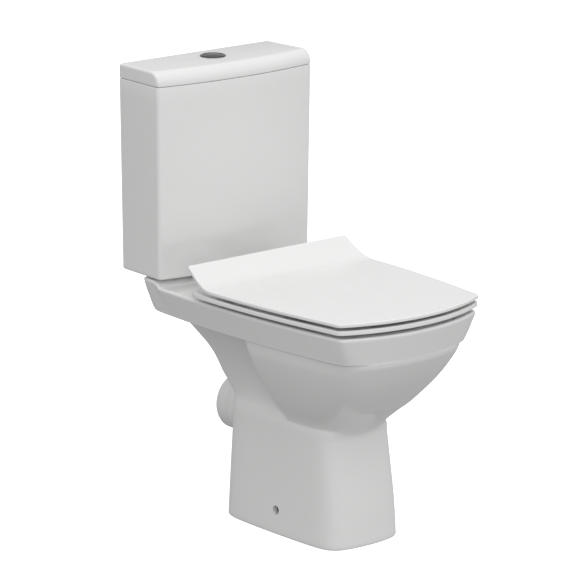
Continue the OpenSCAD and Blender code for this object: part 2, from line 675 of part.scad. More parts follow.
module seat_lid() {
    ds = [depth + 5, 300, for (d = [272:-6:224]) d, 195];
    color(white_china) {
        intersection() {
            translate([0, 0, seat_z - lid_t]) linear_extrude(60) polygon(seat_outline(200, 0, 4));
            plate(-200, 200, concat([for (d = ds) [d, seat_z + ramp(d)]],
                [for (d = reversed(ds)) [d, seat_z + ramp(d) - lid_t * (1 + ramp(d) / 150)]]));
        }
        each_side() difference() {
            union() {
                axle(lid_x0, hinge_gap / 2 - post_w - 0.5, hinge_d, hinge_z, knuckle_r);
                plate(lid_x0, hinge_gap / 2 - post_w - 0.5,
                      [[hinge_d - 6, hinge_z + 6], [hinge_d + 12, hinge_z + 16], [hinge_d + 34,
                          hinge_z + 2],
                       [hinge_d + 6, hinge_z - 6]]);
            }
            axle(lid_x0 - 5, hinge_gap / 2, hinge_d, hinge_z, pin_r + clearance);
        }
        // closed barrel that holds the lid's damper
        difference() {
            axle(-lid_x0, -lid_x0 + 24, hinge_d, hinge_z, knuckle_r);
            axle(-lid_x0 - 1, -lid_x0 + 22, hinge_d, hinge_z, 7);
        }
    }
}
module seat_ring() {
    color(white_china) {
        difference() {
            translate([0, 0, ring_top_z - ring_t]) linear_extrude(ring_t) difference() {
                polygon(seat_outline(207, 1, 10));
                translate([0, wy(415)]) polygon([for (i = [0:71]) let (a = 5 * i,
                    v = [abs(cos(a)), sin(a)], r = soft_min([118 / max(0.02, v[0]), to_circle(v, [0, 0],
                        158)], 9))
                    [r * cos(a), r * sin(a)]]);
            }
        }
        each_side() difference() {
            union() {
                axle(hinge_gap / 2 + post_w + 0.5, ring_x1, hinge_d, hinge_z, knuckle_r);
                plate(hinge_gap / 2 + post_w + 0.5, ring_x1,
                      [[hinge_d - 6, hinge_z - 6], [hinge_d + 17, ring_top_z - ring_t],
                       [hinge_d + 28, ring_top_z - ring_t], [hinge_d + 28, ring_top_z], [hinge_d + 6,
                           hinge_z + 6]]);
            }
            axle(hinge_gap / 2, ring_x1 + 5, hinge_d, hinge_z, pin_r + clearance);
        }
        // closed barrel that holds the ring's damper
        difference() {
            axle(ring_x1, ring_x1 + 24, hinge_d, hinge_z, knuckle_r);
            axle(ring_x1 - 1, ring_x1 + 22, hinge_d, hinge_z, 7);
        }
    }
}
module ring_buffers() {
    color([0.9, 0.9, 0.88]) each_side() for (d = [262, 520])
        pillar(seat_hw(d) - 30, d, rim_z, ring_top_z - ring_t, 8);
}
module lid_buffers() {
    color([0.9, 0.9, 0.88]) each_side() for (d = [300, 480])
        pillar(seat_hw(d) - 26, d, ring_top_z, seat_z - lid_t, 6);
}

// ---- hinges ----------------------------------------------------------------
base_z = rim_z + 1.5;
seat_bolt_r = 4;
module hinge_gaskets() {
    color(grey_rubber) each_side() pillar(hinge_gap / 2, hinge_d, rim_z, base_z, 19, seat_bolt_r);
}
module hinge_posts() {
    color(bright_metal) each_side() translate([hinge_gap / 2, 0, 0]) difference() {
        union() {
            pillar(0, hinge_d, base_z, base_z + 3.5, 20);
            block(-post_w, post_w, hinge_d - 8, hinge_d + 8, base_z + 3, hinge_z);
            axle(-post_w, post_w, hinge_d, hinge_z, 10);
        }
        axle(-post_w - 1, post_w + 1, hinge_d, hinge_z, pin_r);
        pillar(0, hinge_d, base_z - 1, base_z + 16, seat_bolt_r);
    }
}
module hinge_pins() {
    color(bright_metal) each_side() axle(lid_x0 + 1, ring_x1 - 1, hinge_d, hinge_z, pin_r);
}
module ring_damper() {
    color(blue_plastic) axle(ring_x1 + 1, ring_x1 + 21.5, hinge_d, hinge_z, 6.9);
}
module lid_damper() {
    color(blue_plastic) axle(-lid_x0 + 1, -lid_x0 + 21.5, hinge_d, hinge_z, 6.9);
}
module seat_bolts() {
    color(bright_metal) each_side() pillar(hinge_gap / 2, hinge_d, under_z - 26, base_z + 16, seat_bolt_r);
}
module seat_bolt_cones() {
    color(grey_rubber) each_side() difference() {
        translate([hinge_gap / 2, wy(hinge_d), under_z - 14]) cylinder(h = 14, r1 = 9, r2 = 14, $fn = 48);
        pillar(hinge_gap / 2, hinge_d, under_z - 20, under_z + 5, seat_bolt_r);
    }
}
module seat_bolt_nuts() {
    color(white_china) each_side() wing_nut(hinge_gap / 2, hinge_d, under_z - 22, under_z - 14,
        seat_bolt_r);
}

pan_rim();
pan_basin();
pan_trap();
pan_skirt();
pan_foot();
cistern();
cistern_lid();
cistern_bolts();
bolt_rubber_washers();
bolt_metal_washers();
bolt_wing_nuts();
cistern_pads();
coupling_gasket();
flush_valve_base();
flush_valve_washer();
flush_valve_backnut();
flush_valve_housing();
lever_pin();
lift_lever();
overflow_tube();
flush_seal();
float_bell();
half_flush_plunger();
fill_valve_body();
fill_valve_washer();
fill_valve_nut();
fill_valve_cap();
fill_float();
float_arm();
float_arm_pin();
button_bezel();
button_nut();
button_full();
button_half();
push_rod_full();
push_rod_half();
spring_full();
spring_half();
seat_ring();
seat_lid();
ring_buffers();
lid_buffers();
hinge_posts();
hinge_pins();
ring_damper();
lid_damper();
hinge_gaskets();
seat_bolts();
seat_bolt_cones();
seat_bolt_nuts();
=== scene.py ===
"""Looks of a close coupled toilet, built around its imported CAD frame.

Lengths are in millimetres while a piece is shaped, and in metres once it is a mesh.
The front faces -Y and the wall is on +Y; d is the distance in front of the wall.
"""
import json
import math

import bmesh
import bpy
import numpy as np
from mathutils import Matrix, Vector


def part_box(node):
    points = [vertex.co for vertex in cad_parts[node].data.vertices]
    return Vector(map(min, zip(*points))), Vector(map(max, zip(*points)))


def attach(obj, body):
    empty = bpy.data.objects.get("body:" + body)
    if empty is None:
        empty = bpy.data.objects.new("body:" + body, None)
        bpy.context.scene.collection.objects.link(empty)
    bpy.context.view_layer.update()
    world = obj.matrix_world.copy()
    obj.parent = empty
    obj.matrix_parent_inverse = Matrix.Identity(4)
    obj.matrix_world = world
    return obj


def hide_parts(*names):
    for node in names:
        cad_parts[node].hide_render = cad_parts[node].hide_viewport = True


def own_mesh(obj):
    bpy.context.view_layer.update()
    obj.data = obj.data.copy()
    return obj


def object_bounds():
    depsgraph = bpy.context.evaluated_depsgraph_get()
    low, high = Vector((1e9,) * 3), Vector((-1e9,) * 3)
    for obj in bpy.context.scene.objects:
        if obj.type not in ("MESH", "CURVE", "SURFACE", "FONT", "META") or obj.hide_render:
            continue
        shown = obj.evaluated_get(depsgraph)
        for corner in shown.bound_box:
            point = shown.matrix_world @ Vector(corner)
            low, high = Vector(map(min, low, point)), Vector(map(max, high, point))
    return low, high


MM = 0.001

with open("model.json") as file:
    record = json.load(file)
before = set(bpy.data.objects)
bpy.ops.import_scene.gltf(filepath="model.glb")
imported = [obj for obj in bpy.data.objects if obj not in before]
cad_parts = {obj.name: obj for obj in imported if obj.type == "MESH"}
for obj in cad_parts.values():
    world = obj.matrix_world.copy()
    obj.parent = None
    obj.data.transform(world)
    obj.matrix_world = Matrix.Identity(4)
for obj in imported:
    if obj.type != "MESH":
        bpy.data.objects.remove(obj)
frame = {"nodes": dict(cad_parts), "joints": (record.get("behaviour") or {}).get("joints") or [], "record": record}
cad_box = [list(corner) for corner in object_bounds()]
joints = {j["name"]: j for j in frame["joints"]}


# ---- sizes, taken from the frame -------------------------------------------
def span(node):
    """Lowest and highest corner of a CAD node in millimetres."""
    low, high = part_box(node)
    return np.array(low) / MM, np.array(high) / MM


PAN_NODES = sorted(n for n in frame["nodes"] if n.startswith("pan"))
TANK_LOW, TANK_HIGH = span("cistern")
COVER_LOW, COVER_HIGH = span("cistern_lid")
BEZEL_LOW, BEZEL_HIGH = span("button_bezel")

WALL_Y = cad_box[1][1] / MM
DEPTH = 2 * WALL_Y
DECK_Z = max(span(n)[1][2] for n in PAN_NODES)
RIM_Z = span("hinge_gaskets")[0][2]
HINGE = Vector(joints["seat_lid_hinge"]["pos_m"]) / MM
LID_T = 7
LID_REAR_Z = span("seat_lid")[1][2]
SEAT_Z = span("lid_buffers")[1][2] + LID_T
RING_TOP = span("lid_buffers")[0][2]
RING_UNDER = span("ring_buffers")[1][2]
BUTTON_Y = (BEZEL_LOW[1] + BEZEL_HIGH[1]) / 2
BAND_Z = RIM_Z - 50
FOOT_TOP = 212
CENTRE_D = 350     # centre of the pan's sections
BASIN_D = 410      # centre of the basin's sections at the rim
BASIN_SHIFT = 75   # how much further back that centre is at the basin's floor
CHINA_T = 10
BORE_R = 42        # bore of the outlet spigot
FIXING_R = 8       # holes of the floor fixings
TRAP_R = 33
THROAT = [(322, 206), (252, 233.7)]  # ends of the throat's cut: distance from the wall, height


def wy(d):
    """The y of a place at the distance d from the wall."""
    return WALL_Y - d


# ---- curves ----------------------------------------------------------------
def mix(a, b, t):
    """Value between a and b."""
    return a + (b - a) * t


def ease(t):
    """Smooth step from 0 to 1."""
    c = np.clip(t, 0, 1)
    return c * c * (3 - 2 * c)


def to_circle(v, c, r):
    """Way from the origin along v to a circle of radius r about c."""
    b = v[0] * c[0] + v[1] * c[1]
    return b + np.sqrt(b * b - c[0] ** 2 - c[1] ** 2 + r * r)


def soft_min(ways, k):
    """Smooth least of a list of arrays."""
    return sum(w ** -k for w in ways) ** (-1 / k)


def soft_max(ways, k):
    """Smooth greatest of a list of arrays."""
    top = max(np.max(w) for w in ways)
    return top * sum((w / top) ** k for w in ways) ** (1 / k)


def section(a, centre, half_w, wide_d, front, rear, side_r, front_r, rear_r, k):
    """Reach of a section with curved sides, front and rear in the directions a."""
    v = (np.abs(np.cos(a)), np.sin(a))
    return soft_min([to_circle(v, (half_w - side_r, centre - wide_d), side_r),
                     to_circle(v, (0, front_r - (front - centre)), front_r),
                     to_circle(v, (0, (centre - rear) - rear_r), rear_r)], k)


def quarter(steps, first=0):
    """Sine and cosine of even steps over a quarter turn, from the first step on."""
    for u in np.linspace(0, 90, steps)[first:]:
        yield math.sin(math.radians(u)), math.cos(math.radians(u))


# ---- mesh making -----------------------------------------------------------
def make_object(name, vertices, faces, smooth_angle=40):
    """Object in metres from points in millimetres, smooth up to an angle."""
    mesh = bpy.data.meshes.new(name)
    mesh.from_pydata([tuple(MM * c for c in p) for p in vertices], [], faces)
    obj = bpy.data.objects.new(name, mesh)
    bpy.context.scene.collection.objects.link(obj)
    clean(obj, smooth_angle)
    return obj


def clean(obj, smooth_angle=40, merge=2e-6):
    """Welds doubles, turns faces outward and marks the sharp edges."""
    bm = bmesh.new()
    bm.from_mesh(obj.data)
    bmesh.ops.remove_doubles(bm, verts=bm.verts, dist=merge)
    bmesh.ops.dissolve_degenerate(bm, edges=bm.edges, dist=1e-6)
    bmesh.ops.recalc_face_normals(bm, faces=bm.faces)
    limit = math.radians(smooth_angle)
    for face in bm.faces:
        face.smooth = True
    for edge in bm.edges:
        edge.smooth = len(edge.link_faces) == 2 and edge.calc_face_angle(0) < limit
    bm.to_mesh(obj.data)
    bm.free()


def loft(name, rows, closed=False, smooth_angle=40):
    """Skin through rows of equal length; open ends are capped."""
    rows = [np.asarray(r, float) for r in rows]
    n = len(rows[0])
    count = len(rows)
    points = np.concatenate(rows).tolist()
    faces = []
    for j in range(count if closed else count - 1):
        a, b = j * n, (j + 1) % count * n
        faces += [(a + i, a + (i + 1) % n, b + (i + 1) % n, b + i) for i in range(n)]
    if not closed:
        faces += [tuple(range(n)), tuple(range((count - 1) * n, count * n))]
    return make_object(name, points, faces, smooth_angle)


def turned(name, profile, centre, axis=(0, 0, 1), steps=96, smooth_angle=30):
    """Body turned about an axis; the profile is a closed list of (radius, height)."""
    turn = Vector((0, 0, 1)).rotation_difference(Vector(axis)).to_matrix()
    rows = []
    for i in range(steps):
        a = math.tau * i / steps
        rows.append([Vector(centre) + turn @ Vector((r * math.cos(a), r * math.sin(a), h))
                     for r, h in profile])
    return loft(name, rows, closed=True, smooth_angle=smooth_angle)


def rounded_outline(corners, steps=8):
    """Closed outline from (x, y, radius) corners, with arcs in the corners."""
    points = []
    for i, (x, y, r) in enumerate(corners):
        q = Vector((x, y))
        p = Vector(corners[i - 1][:2])
        s = Vector(corners[(i + 1) % len(corners)][:2])
        if r == 0:
            points.append(q)
            continue
        u, v = (p - q).normalized(), (s - q).normalized()
        half = u.angle(v) / 2
        middle = q + (u + v).normalized() * r / math.sin(half)
        first, last = q + u * r / math.tan(half), q + v * r / math.tan(half)
        start, turn = first - middle, (first - middle).angle_signed(last - middle)
        points += [middle + Matrix.Rotation(-turn * k / steps, 2) @ start for k in range(steps + 1)]
    return points


def bar(name, outline, low, high, axis="z", edge=0.6):
    """Straight bar with a bevelled edge: an outline pushed along an axis."""
    def at(p, h):
        return {"z": (p[0], p[1], h), "x": (h, p[0], p[1]), "y": (p[0], h, p[1])}[axis]
    n = len(outline)
    points = [at(p, h) for h in (low, high) for p in outline]
    faces = [tuple(range(n)), tuple(range(n, 2 * n))]
    faces += [(i, (i + 1) % n, n + (i + 1) % n, n + i) for i in range(n)]
    obj = make_object(name, points, faces)
    if edge:
        add_bevel(obj, edge)
    return obj


def apply_modifiers(obj):
    """Makes the modifiers' result the object's own mesh."""
    bpy.context.view_layer.update()
    evaluated = obj.evaluated_get(bpy.context.evaluated_depsgraph_get())
    mesh = bpy.data.meshes.new_from_object(evaluated)
    obj.modifiers.clear()
    obj.data = mesh


def add_bevel(obj, width, segments=3, angle=35):
    """Rounds the edges that are sharper than an angle."""
    bevel = obj.modifiers.new("edges", "BEVEL")
    bevel.width = width * MM
    bevel.segments = segments
    bevel.limit_method = "ANGLE"
    bevel.angle_limit = math.radians(angle)
    apply_modifiers(obj)
    clean(obj)


def join(name, pieces):
    """One object out of several."""
    bm = bmesh.new()
    for piece in pieces:
        bm.from_mesh(piece.data)
    mesh = bpy.data.meshes.new(name)
    bm.to_mesh(mesh)
    bm.free()
    for piece in pieces:
        bpy.data.objects.remove(piece)
    obj = bpy.data.objects.new(name, mesh)
    bpy.context.scene.collection.objects.link(obj)
    return obj


def combine(obj, tools, operation, smooth_angle=40):
    """Cuts the tools out of obj, or adds them to it, and removes them."""
    for tool in tools:
        step = obj.modifiers.new(operation, "BOOLEAN")
        step.operation = operation
        step.solver = "EXACT"
        step.object = tool
        apply_modifiers(obj)
    for tool in tools:
        bpy.data.objects.remove(tool)
    clean(obj, smooth_angle)
    return obj


def rod(name, start, end, r, steps=48):
    """Closed round rod between two points."""
    start, end = Vector(start), Vector(end)
    length = (end - start).length
    turn = Vector((0, 0, 1)).rotation_difference(end - start).to_matrix()
    rows = [[start + turn @ Vector((r * math.cos(math.tau * i / steps),
                                    r * math.sin(math.tau * i / steps), h))
             for i in range(steps)] for h in (0, length)]
    return loft(name, rows)


def finish_piece(obj, body, slot, material, *nodes):
    """Hands a piece to the frame: its body, material and the nodes it stands for; the slot is not used."""
    obj.data.materials.clear()
    obj.data.materials.append(material)
    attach(obj, body)
    if nodes:
        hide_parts(*nodes)
    return obj


# ---- materials -------------------------------------------------------------
def node_material(name, colour, second, roughness, spread, scale, bump=0.0, bump_scale=1.0,
                  distance=0.001, **sockets):
    """Principled material whose colour, gloss and surface vary gently by noise."""
    material = bpy.data.materials.new(name)
    material.use_nodes = True
    tree = material.node_tree
    shader = tree.nodes["Principled BSDF"]
    place = tree.nodes.new("ShaderNodeTexCoord")

    def noise(size, detail):
        node = tree.nodes.new("ShaderNodeTexNoise")
        node.inputs["Scale"].default_value = size
        node.inputs["Detail"].default_value = detail
        tree.links.new(place.outputs["Object"], node.inputs["Vector"])
        return node

    def ramp(node, low, high, to_socket, colours=False):
        blend = tree.nodes.new("ShaderNodeMix" if colours else "ShaderNodeMapRange")
        if colours:
            blend.data_type = "RGBA"
            blend.inputs["A"].default_value = (*low, 1)
            blend.inputs["B"].default_value = (*high, 1)
            tree.links.new(node.outputs["Fac"], blend.inputs["Factor"])
            tree.links.new(blend.outputs["Result"], to_socket)
        else:
            blend.inputs["From Min"].default_value = 0.3
            blend.inputs["From Max"].default_value = 0.7
            blend.inputs["To Min"].default_value = low
            blend.inputs["To Max"].default_value = high
            tree.links.new(node.outputs["Fac"], blend.inputs["Value"])
            tree.links.new(blend.outputs["Result"], to_socket)

    ramp(noise(scale, 3), colour, second, shader.inputs["Base Color"], colours=True)
    ramp(noise(scale * 2.3, 4), roughness - spread, roughness + spread, shader.inputs["Roughness"])
    if bump:
        wave = tree.nodes.new("ShaderNodeBump")
        wave.inputs["Strength"].default_value = bump
        wave.inputs["Distance"].default_value = distance
        tree.links.new(noise(bump_scale, 2).outputs["Fac"], wave.inputs["Height"])
        tree.links.new(wave.outputs["Normal"], shader.inputs["Normal"])
    for socket, value in sockets.items():
        shader.inputs[socket.replace("_", " ")].default_value = value
    return material


CHINA = node_material("glazed china", (0.80, 0.80, 0.795), (0.775, 0.775, 0.77), 0.13, 0.025, 9,
                      bump=0.12, bump_scale=26, distance=0.0012, Specular_IOR_Level=0.5,
                      Coat_Weight=0.35, Coat_Roughness=0.05)
SEAT = node_material("seat plastic", (0.83, 0.83, 0.825), (0.81, 0.81, 0.805), 0.2, 0.03, 14,
                     bump=0.05, bump_scale=60, distance=0.0006, Specular_IOR_Level=0.4)
# The dark grey base colour of this chrome is a painted reflection: it stands in for dark surroundings mirrored by
# bright metal. Its gloss and the lamps' highlights on it are real reflections.
CHROME_PAINTED_DARK = node_material("chrome", (0.085, 0.087, 0.09), (0.065, 0.067, 0.07), 0.09, 0.02, 60,
                       bump=0.03, bump_scale=300, distance=0.0003, Metallic=1.0)
POLISHED = node_material("polished metal", (0.5, 0.51, 0.53), (0.42, 0.43, 0.45), 0.1, 0.03, 60,
                         bump=0.03, bump_scale=300, distance=0.0003, Metallic=1.0)
STEEL = node_material("plated steel", (0.55, 0.55, 0.57), (0.45, 0.45, 0.47), 0.3, 0.07, 120,
                      bump=0.1, bump_scale=900, distance=0.0002, Metallic=1.0)
BRASS = node_material("brass", (0.66, 0.5, 0.24), (0.56, 0.41, 0.19), 0.28, 0.08, 80,
                      bump=0.1, bump_scale=700, distance=0.0002, Metallic=1.0)
RUBBER = node_material("black rubber", (0.035, 0.035, 0.037), (0.05, 0.05, 0.052), 0.62, 0.08, 90,
                       bump=0.2, bump_scale=1200, distance=0.0002, Specular_IOR_Level=0.3)
BUFFER = node_material("pale rubber", (0.68, 0.68, 0.66), (0.62, 0.62, 0.6), 0.5, 0.07, 70,
                       bump=0.15, bump_scale=900, distance=0.0002, Specular_IOR_Level=0.35)
WHITE_PLASTIC = node_material("white moulding", (0.76, 0.77, 0.78), (0.71, 0.72, 0.73), 0.42, 0.07,
                              50, bump=0.15, bump_scale=1100, distance=0.0002)
BLUE_PLASTIC = node_material("blue moulding", (0.1, 0.2, 0.38), (0.08, 0.16, 0.31), 0.4, 0.07, 50,
                             bump=0.15, bump_scale=1100, distance=0.0002)
BY_SLOT = {"china": CHINA, "seat_plastic": SEAT, "chrome": POLISHED, "steel": STEEL, "brass": BRASS,
           "rubber": RUBBER, "buffer": BUFFER, "white_plastic": WHITE_PLASTIC,
           "valve_plastic": BLUE_PLASTIC}


def dress_nodes():
    """Gives every CAD node the material of its slot."""
    for part in frame["record"]["subparts"]:
        node = frame["nodes"][part["node"]]
        node.data.materials.clear()
        node.data.materials.append(BY_SLOT[part["material_slot"]])
        clean_sharp(node)


def clean_sharp(node):
    """Smooth shading with sharp edges, leaving the CAD mesh's points alone."""
    for polygon in node.data.polygons:
        polygon.use_smooth = True
    if not node.data.has_custom_normals:
        node.data.set_sharp_from_angle(angle=math.radians(35))


# ---- pan -------------------------------------------------------------------
DIRECTIONS = 384


def direction_list():
    """Directions round a section, closer together at its front corners."""
    t = np.linspace(0, 1, DIRECTIONS, endpoint=False)
    a = math.tau * t
    return a + 0.1 * np.sin(4 * a - math.pi)


ANGLES = direction_list()


def band_r(a, z, t):
    """Reach of the rim and its band, drawn in by t."""
    s = (RIM_Z - z) / (RIM_Z - BAND_Z)
    body = section(a, CENTRE_D, 173 - t - 15 * s, 262, 607 - t - 14 * s, 42 + t + 6 * s,
                   2100, 330, 900, mix(90, 30, s))
    tongue = section(a, CENTRE_D, 66 - t, 250, 420, 18 + t + 6 * s, 1900, 900, 900, 20)
    return soft_max([body, tongue], 40)


def curve(points, z):
    """Smooth curve through (z, value) points in rising order of z."""
    zs, vs = zip(*points)
    z = min(max(z, zs[0]), zs[-1])
    i = max(k for k in range(len(zs) - 1) if zs[k] <= z)

    def slope(k):
        a, b = max(k - 1, 0), min(k + 1, len(zs) - 1)
        return (vs[b] - vs[a]) / (zs[b] - zs[a])

    h = zs[i + 1] - zs[i]
    u = (z - zs[i]) / h
    return (vs[i] * (1 + 2 * u) * (1 - u) ** 2 + slope(i) * h * u * (1 - u) ** 2
            + vs[i + 1] * u * u * (3 - 2 * u) + slope(i + 1) * h * u * u * (u - 1))


# heights with the size of the stem (foot, neck and web) and of the bowl there
STEM_HALF_W = [(0, 87), (100, 83), (185, 80), (198, 79), (208, 76), (222, 71), (240, 72),
               (280, 85), (320, 107), (358, 133)]
STEM_REAR = [(0, 170), (100, 174), (185, 178), (200, 175), (212, 167), (235, 150), (250, 140),
             (280, 126), (300, 111), (320, 86), (345, 54), (358, 44)]
STEM_FRONT = [(0, 475), (66, 471), (135, 461), (187, 453), (205, 450), (240, 430), (358, 420)]
BOWL_HALF_W = [(180, 40), (200, 68), (212, 80), (240, 101), (285, 127), (330, 147), (358, 154)]
BOWL_FRONT = [(180, 410), (195, 441), (205, 457), (230, 486), (249, 509), (301, 558), (346, 589),
              (358, 593)]
BOWL_REAR = [(180, 335), (215, 330), (300, 306), (358, 292)]


def bowl_r(a, z, t):
    """Reach of the bowl under the band."""
    s = np.clip((BAND_Z - z) / (BAND_Z - FOOT_TOP), 0, 1.2)
    return section(a, CENTRE_D, curve(BOWL_HALF_W, z) - t, 300, curve(BOWL_FRONT, z) - t,
                   curve(BOWL_REAR, z) + t, 1400, mix(345, 300, s), 500, mix(17, 6, s))


def stem_r(a, z, t):
    """Reach of the stem: foot, neck and web."""
    low = ease((215 - z) / 30)
    return section(a, CENTRE_D, curve(STEM_HALF_W, z) - t, 290, curve(STEM_FRONT, z) - t,
                   curve(STEM_REAR, z) + t, mix(900, 2600, low), mix(600, 260, low),
                   mix(400, 900, low), mix(9, 24, ease((z - 215) / 45)))


NECK_Z = 181        # height where the bowl starts to leave the foot
FRONT_SPREAD = 1.0  # how far round the softer fillet of the neck's front reaches


def pan_r(a, z, t):
    """Reach of the pan's outside, drawn in by t at the height z."""
    if z >= BAND_Z:
        return band_r(a, z, t)
    if z <= NECK_Z:
        return stem_r(a, z, t)
    off = (a + 1.5 * math.pi) % math.tau - math.pi
    front = np.exp(-off ** 2 / FRONT_SPREAD)
    bowl, stem = bowl_r(a, z, t), stem_r(a, z, t)
    return soft_max_by([bowl, stem], mix(48, 9, front))


def soft_max_by(ways, k):
    """Smooth greatest whose sharpness varies with the direction."""
    top = np.maximum(*ways)
    return top * sum((w / top) ** k for w in ways) ** (1 / k)


BASIN_FLOOR = 186


def basin_s(z):
    """Share of the basin's height at z."""
    return (z - BASIN_FLOOR) / (RIM_Z - BASIN_FLOOR)


def basin_d(z):
    """Centre of the basin's section at z."""
    return BASIN_D - BASIN_SHIFT * (1 - basin_s(z))


def basin_r(a, z, t):
    """Reach of the basin's inside, let out by t."""
    s = basin_s(z)
    return section(a, basin_d(z), mix(36, 122, s ** 1.35) + t, 380, mix(368, 574, s ** 0.7) + t,
                   mix(324, 260, s * s) - t, 700, 330, 600, mix(3, 7, s))


def row(centre, z, reach):
    """Points all round a centre, from their reach."""
    z = np.broadcast_to(z, ANGLES.shape)
    return np.stack([reach * np.cos(ANGLES), wy(centre) + reach * np.sin(ANGLES), z], 1)


def basin_row(z, t=0.0):
    """Points of the basin's section, let out by t."""
    return row(basin_d(z), z, basin_r(ANGLES, z, t))


def pan_row(z, t=0.0, at_z=None):
    """Points of the pan's section at z, drawn in by t and laid at another height."""
    return row(CENTRE_D, z if at_z is None else at_z, pan_r(ANGLES, z, t))


def deck_rise(points):
    """Adds the raised deck under the cistern to points of the top surface."""
    d = WALL_Y - points[:, 1]
    x = np.abs(points[:, 0])
    edge = 116 - 14 * (x / 165) ** 2
    points[:, 2] += (DECK_Z - RIM_Z) * ease((edge + 6 - d) / 14)
    return points


def pan_rows():
    """Rows of the whole pan: basin, rim, band, outside, hollow foot, back of the basin."""
    edge_r, inner_r = 4.0, 8
    rows = [basin_row(z) for z in np.linspace(BASIN_FLOOR, RIM_Z - inner_r, 40)]
    rows.insert(0, mix(rows[0].mean(0), rows[0], 0.5))
    for sine, cosine in quarter(6, first=1):
        rows.append(row(basin_d(RIM_Z - inner_r), RIM_Z - inner_r * (1 - sine),
                        basin_r(ANGLES, RIM_Z - inner_r, inner_r * (1 - cosine))))
    inner = rows[-1]
    rim = pan_row(RIM_Z, edge_r, RIM_Z)
    rows += [deck_rise(mix(inner, rim, t)) for t in np.linspace(0, 1, 26)[1:]]
    for sine, cosine in quarter(6, first=1):
        rows.append(deck_rise(pan_row(RIM_Z, edge_r * (1 - sine), RIM_Z - edge_r * (1 - cosine))))
    top = rows[-1]
    # the band's lower edge is rounded by a share of its step over the bowl
    step = band_r(ANGLES, BAND_Z, 0) - pan_r(ANGLES, BAND_Z - 0.4, 0)
    edge = np.clip(0.6 * step, 0.02, 2.6)
    for t in np.linspace(0, 1, 14)[1:]:
        flat = pan_row(mix(RIM_Z, BAND_Z, t), 0)
        flat[:, 2] = mix(top[:, 2], BAND_Z + edge, t)
        rows.append(flat)
    for sine, cosine in quarter(5, first=1):
        rows.append(row(CENTRE_D, BAND_Z + edge * (1 - sine),
                        band_r(ANGLES, BAND_Z, 0) - edge * (1 - cosine)))
    heights = np.concatenate([np.linspace(BAND_Z - 0.4, 230, 50), np.linspace(228, 182, 30),
                              np.linspace(178, 4, 24)])
    rows += [pan_row(z) for z in heights]
    for sine, cosine in quarter(4, first=1):
        rows.append(pan_row(4, 3 * (1 - cosine), 4 - 4 * sine))
    # hollow foot and the back of the basin
    rows += [pan_row(z, CHINA_T) for z in (0, 60, 120, 175)]
    rows += [pan_row(z, CHINA_T) for z in np.linspace(185, BAND_Z - 34, 18)]
    for z in np.linspace(BAND_Z - 30, BASIN_FLOOR - CHINA_T, 24):
        back = basin_row(z + CHINA_T, CHINA_T)
        back[:, 2] = z
        rows.append(back)
    rows.append(mix(rows[-1].mean(0), rows[-1], 0.5))
    return rows


def make_pan():
    """The pan with its outlet spigot, the holes in its foot and the throat of its trap."""
    pan = loft("pan_china", pan_rows())
    outlet = frame_mount("outlet_spigot")
    y, z = outlet.y, outlet.z
    profile = [(0.01, 14), (48.5, 14), (50.2, 13.2), (51, 11.5), (51, -12), (51.6, -15),
               (53.5, -19), (53.5, -50), (0.01, -50)]
    spigot = turned("spigot", profile, (0, y, z), axis=(0, 1, 0), steps=128)
    combine(pan, [spigot], "UNION")
    cuts = [rod("bore", (0, y + 25, z), (0, y - 40, z), BORE_R, steps=96)]
    hole = frame_mount("floor_fixing_right")
    for side in (-1, 1):
        ends = [(side * x, hole.y, hole.z) for x in (60, 120)]
        cuts.append(rod("hole", *ends, FIXING_R))
    cuts.append(rod("way", (0, y - 8, z - 3.5), (0, y - 63, z + 35.1), TRAP_R, steps=96))
    ends = [(0, wy(d), height) for d, height in THROAT]
    cuts.append(rod("throat", *ends, TRAP_R, steps=96))
    combine(pan, cuts, "DIFFERENCE")
    return pan


def frame_mount(name):
    """Place of one of the record's mounts."""
    for mount in frame["record"]["mounts"]:
        if mount["name"] == name:
            return Vector(mount["pos_m"]) / MM
    raise KeyError(name)


# ---- cistern ---------------------------------------------------------------
def tank_outline(z, f, s, b):
    """Outline of the cistern drawn in at the front, the sides and the back."""
    u = (z - TANK_LOW[2]) / (TANK_HIGH[2] - TANK_LOW[2])
    half_w = TANK_HIGH[0] - 3 + 3 * u - s
    front = 127 + 5 * u - f
    r = 870
    corner = front - r + math.sqrt(r * r - half_w * half_w)
    arc = [(half_w * x, front - r + math.sqrt(r * r - half_w ** 2 * x * x))
           for x in np.linspace(0.94, 0.02, 24)]
    right = [(half_w - 5, b, 4), (half_w, corner, 7)] + [(*p, 0) for p in arc]
    left = [(-p[0], p[1], p[2]) for p in reversed(right)]
    return [(p.x, wy(p.y)) for p in rounded_outline(right + left)]


def tank_row(z, f, s, b, at_z=None):
    """Points of the cistern's outline at z, laid at another height."""
    return [(x, y, z if at_z is None else at_z) for x, y in tank_outline(z, f, s, b)]


def make_cistern():
    """Open tank with rounded edges outside and inside."""
    low, high = TANK_LOW[2], TANK_HIGH[2]
    wall, foot_r, top_r, floor_r = 9, 4, 1.5, 10
    rows = []
    for sine, cosine in quarter(6):
        t = foot_r * (1 - sine)
        rows.append(tank_row(low + foot_r * (1 - cosine), t, t, t))
    rows += [tank_row(z, 0, 0, 0) for z in np.linspace(low + 6, high - top_r, 14)]
    for sine, cosine in quarter(4, first=1):
        t = top_r * (1 - cosine)
        rows.append(tank_row(high - top_r * (1 - sine), t, t, t))
    rows += [tank_row(high, wall - 1, wall - 1, wall - 1), tank_row(high - 1, wall, wall, wall)]
    rows += [tank_row(z, wall, wall, wall) for z in np.linspace(high - 20, low + 24, 8)]
    for sine, cosine in quarter(6):
        t = wall + floor_r * (1 - cosine)
        rows.append(tank_row(low + 22 - floor_r * sine, t, t, t))
    return loft("cistern_china", rows)


